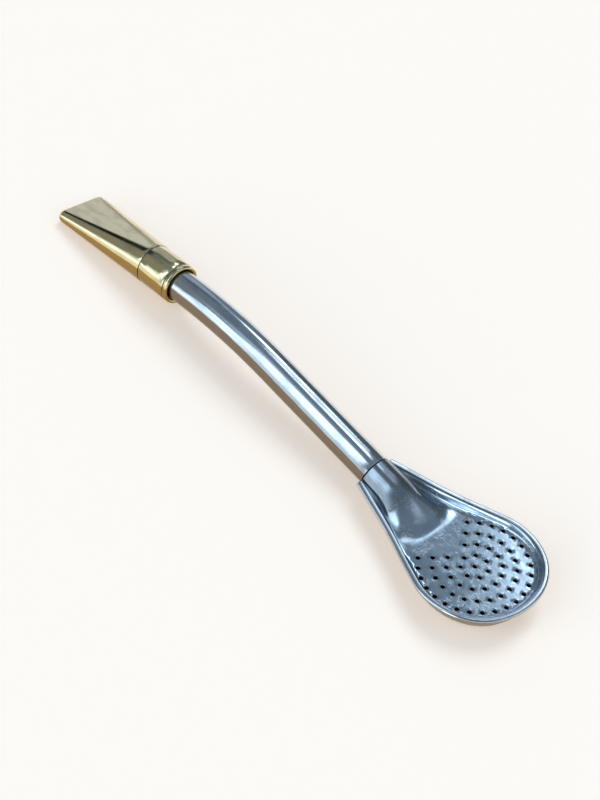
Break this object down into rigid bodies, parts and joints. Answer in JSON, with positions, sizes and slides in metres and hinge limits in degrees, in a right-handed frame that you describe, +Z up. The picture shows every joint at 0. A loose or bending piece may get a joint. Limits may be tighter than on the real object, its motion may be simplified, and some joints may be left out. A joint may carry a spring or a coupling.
{
  "type": "bombilla",
  "caption": "Bent metal drinking straw for mate, with a flattened brass mouthpiece, a soldered ferrule and a spoon-shaped pierced strainer crimped to a flat-backed shell.",
  "frame": {"origin": "on the table under the middle of the straw's length", "axes": "+X along the straw towards the spoon's end, +Y to the side, +Z up from the table"},
  "size_m": [0.1576, 0.0318, 0.0133],
  "materials": {
    "mouthpiece_brass": "polished, lightly scratched",
    "ferrule_brass": "polished",
    "tube_steel": "polished, with fine wear",
    "strainer_steel": "polished, worn, with scuffs",
    "shell_steel": "polished, with fine wear",
    "solder": "dull"
  },
  "bodies": {
    "root": {"mouthpiece": "mouthpiece_brass", "ferrule": "ferrule_brass", "stem_tube": "tube_steel", "front_strainer": "strainer_steel", "back_shell": "shell_steel", "mouthpiece_solder": "solder", "ferrule_solder": "solder", "neck_solder": "solder"}
  },
  "joints": []
}
